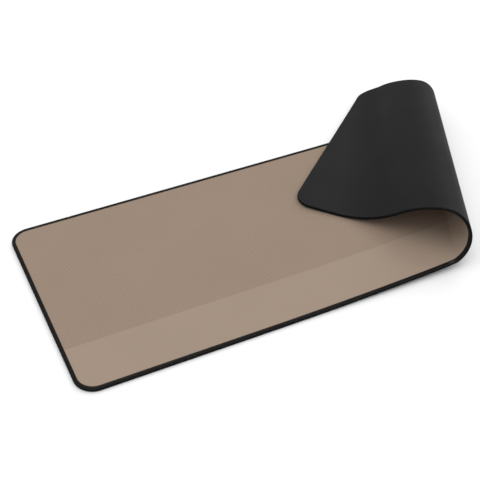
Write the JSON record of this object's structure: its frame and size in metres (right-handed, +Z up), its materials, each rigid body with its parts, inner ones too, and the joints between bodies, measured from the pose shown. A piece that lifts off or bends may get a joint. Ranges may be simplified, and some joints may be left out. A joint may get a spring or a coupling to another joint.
{
  "type": "desk mat",
  "caption": "Rectangular cloth-topped rubber desk mat with rounded corners and an overlocked edge, one end folded over; it unfolds flat.",
  "frame": {"origin": "centre of the unfolded mat's outline, on its flat underside", "axes": "+X along the length towards the folded end, +Y across the width towards the back long edge, +Z up out of the cloth"},
  "size_m": [0.6607, 0.3862, 0.0682],
  "materials": {
    "cloth": "woven, matt",
    "rubber": "fine anti-slip grain",
    "thread": "polyester overlock thread"
  },
  "bodies": {
    "flat_base": {"rubber_00": "rubber", "cloth_00": "cloth", "looper_thread_00": "thread", "needle_thread_00": "thread"},
    "strip_01": {"rubber_01": "rubber", "cloth_01": "cloth", "looper_thread_01": "thread", "needle_thread_01": "thread"},
    "strip_02": {"rubber_02": "rubber", "cloth_02": "cloth", "looper_thread_02": "thread", "needle_thread_02": "thread"},
    "strip_03": {"rubber_03": "rubber", "cloth_03": "cloth", "looper_thread_03": "thread", "needle_thread_03": "thread"},
    "strip_04": {"rubber_04": "rubber", "cloth_04": "cloth", "looper_thread_04": "thread", "needle_thread_04": "thread"},
    "strip_05": {"rubber_05": "rubber", "cloth_05": "cloth", "looper_thread_05": "thread", "needle_thread_05": "thread"},
    "strip_06": {"rubber_06": "rubber", "cloth_06": "cloth", "looper_thread_06": "thread", "needle_thread_06": "thread"},
    "strip_07": {"rubber_07": "rubber", "cloth_07": "cloth", "looper_thread_07": "thread", "needle_thread_07": "thread"},
    "strip_08": {"rubber_08": "rubber", "cloth_08": "cloth", "looper_thread_08": "thread", "needle_thread_08": "thread"},
    "strip_09": {"rubber_09": "rubber", "cloth_09": "cloth", "looper_thread_09": "thread", "needle_thread_09": "thread"},
    "strip_10": {"rubber_10": "rubber", "cloth_10": "cloth", "looper_thread_10": "thread", "needle_thread_10": "thread"},
    "strip_11": {"rubber_11": "rubber", "cloth_11": "cloth", "looper_thread_11": "thread", "needle_thread_11": "thread"},
    "strip_12": {"rubber_12": "rubber", "cloth_12": "cloth", "looper_thread_12": "thread", "needle_thread_12": "thread"},
    "strip_13": {"rubber_13": "rubber", "cloth_13": "cloth", "looper_thread_13": "thread", "needle_thread_13": "thread"},
    "end_flap": {"rubber_14": "rubber", "cloth_14": "cloth", "looper_thread_14": "thread", "needle_thread_14": "thread"}
  },
  "joints": [
    {"name": "fold_01", "type": "hinge", "parent": "flat_base", "child": "strip_01", "pos_m": [0.0125, 0, 0.004], "axis": [0.545, 0.8384, 0], "range_deg": [0, 2.5]},
    {"name": "fold_02", "type": "hinge", "parent": "strip_01", "child": "strip_02", "pos_m": [0.16302, 0.00007, 0.00951], "axis": [0.4466, 0.8947, -0.0049], "range_deg": [0, 23.5]},
    {"name": "fold_03", "type": "hinge", "parent": "strip_02", "child": "strip_03", "pos_m": [0.17291, 0.00052, 0.0137], "axis": [0.4387, 0.8986, -0.0092], "range_deg": [0, 23.5]},
    {"name": "fold_04", "type": "hinge", "parent": "strip_03", "child": "strip_04", "pos_m": [0.18065, 0.00205, 0.021], "axis": [0.4329, 0.9013, -0.0167], "range_deg": [0, 23.5]},
    {"name": "fold_05", "type": "hinge", "parent": "strip_04", "child": "strip_05", "pos_m": [0.18528, 0.00512, 0.03021], "axis": [0.4302, 0.9023, -0.0261], "range_deg": [0, 23.5]},
    {"name": "fold_06", "type": "hinge", "parent": "strip_05", "child": "strip_06", "pos_m": [0.18634, 0.00989, 0.03978], "axis": [0.4311, 0.9016, -0.0361], "range_deg": [0, 23.5]},
    {"name": "fold_07", "type": "hinge", "parent": "strip_06", "child": "strip_07", "pos_m": [0.18395, 0.01626, 0.04811], "axis": [0.4355, 0.8991, -0.0448], "range_deg": [0, 23.5]},
    {"name": "fold_08", "type": "hinge", "parent": "strip_07", "child": "strip_08", "pos_m": [0.17883, 0.02383, 0.05377], "axis": [0.4427, 0.8952, -0.0508], "range_deg": [0, 23.5]},
    {"name": "fold_09", "type": "hinge", "parent": "strip_08", "child": "strip_09", "pos_m": [0.17211, 0.03198, 0.05577], "axis": [0.4516, 0.8906, -0.0531], "range_deg": [0, 23.5]},
    {"name": "fold_10", "type": "hinge", "parent": "strip_09", "child": "strip_10", "pos_m": [0.15876, 0.04745, 0.05184], "axis": [0.4558, 0.8885, -0.0523], "range_deg": [0, 16]},
    {"name": "fold_11", "type": "hinge", "parent": "strip_10", "child": "strip_11", "pos_m": [0.14104, 0.06891, 0.03847], "axis": [0.4553, 0.8888, -0.0526], "range_deg": [0, 16]},
    {"name": "fold_12", "type": "hinge", "parent": "strip_11", "child": "strip_12", "pos_m": [0.12884, 0.0857, 0.02096], "axis": [-0.4715, -0.8811, 0.0361], "range_deg": [0, 14.5]},
    {"name": "fold_13", "type": "hinge", "parent": "strip_12", "child": "strip_13", "pos_m": [0.11558, 0.10183, 0.01037], "axis": [-0.5109, -0.8596, 0.0121], "range_deg": [0, 14.5]},
    {"name": "fold_14", "type": "hinge", "parent": "strip_13", "child": "end_flap", "pos_m": [0.10063, 0.11904, 0.00502], "axis": [-0.5542, -0.8324, -0.0003], "range_deg": [0, 14.5]}
  ],
  "couplings": [
    {"joint": "fold_01", "follows": "fold_02", "ratio": 0.10638},
    {"joint": "fold_03", "follows": "fold_02", "ratio": 1},
    {"joint": "fold_04", "follows": "fold_02", "ratio": 1},
    {"joint": "fold_05", "follows": "fold_02", "ratio": 1},
    {"joint": "fold_06", "follows": "fold_02", "ratio": 1},
    {"joint": "fold_07", "follows": "fold_02", "ratio": 1},
    {"joint": "fold_08", "follows": "fold_02", "ratio": 1},
    {"joint": "fold_09", "follows": "fold_02", "ratio": 1},
    {"joint": "fold_10", "follows": "fold_02", "ratio": 0.68085},
    {"joint": "fold_11", "follows": "fold_02", "ratio": 0.68085},
    {"joint": "fold_12", "follows": "fold_02", "ratio": 0.61702},
    {"joint": "fold_13", "follows": "fold_02", "ratio": 0.61702},
    {"joint": "fold_14", "follows": "fold_02", "ratio": 0.61702}
  ]
}
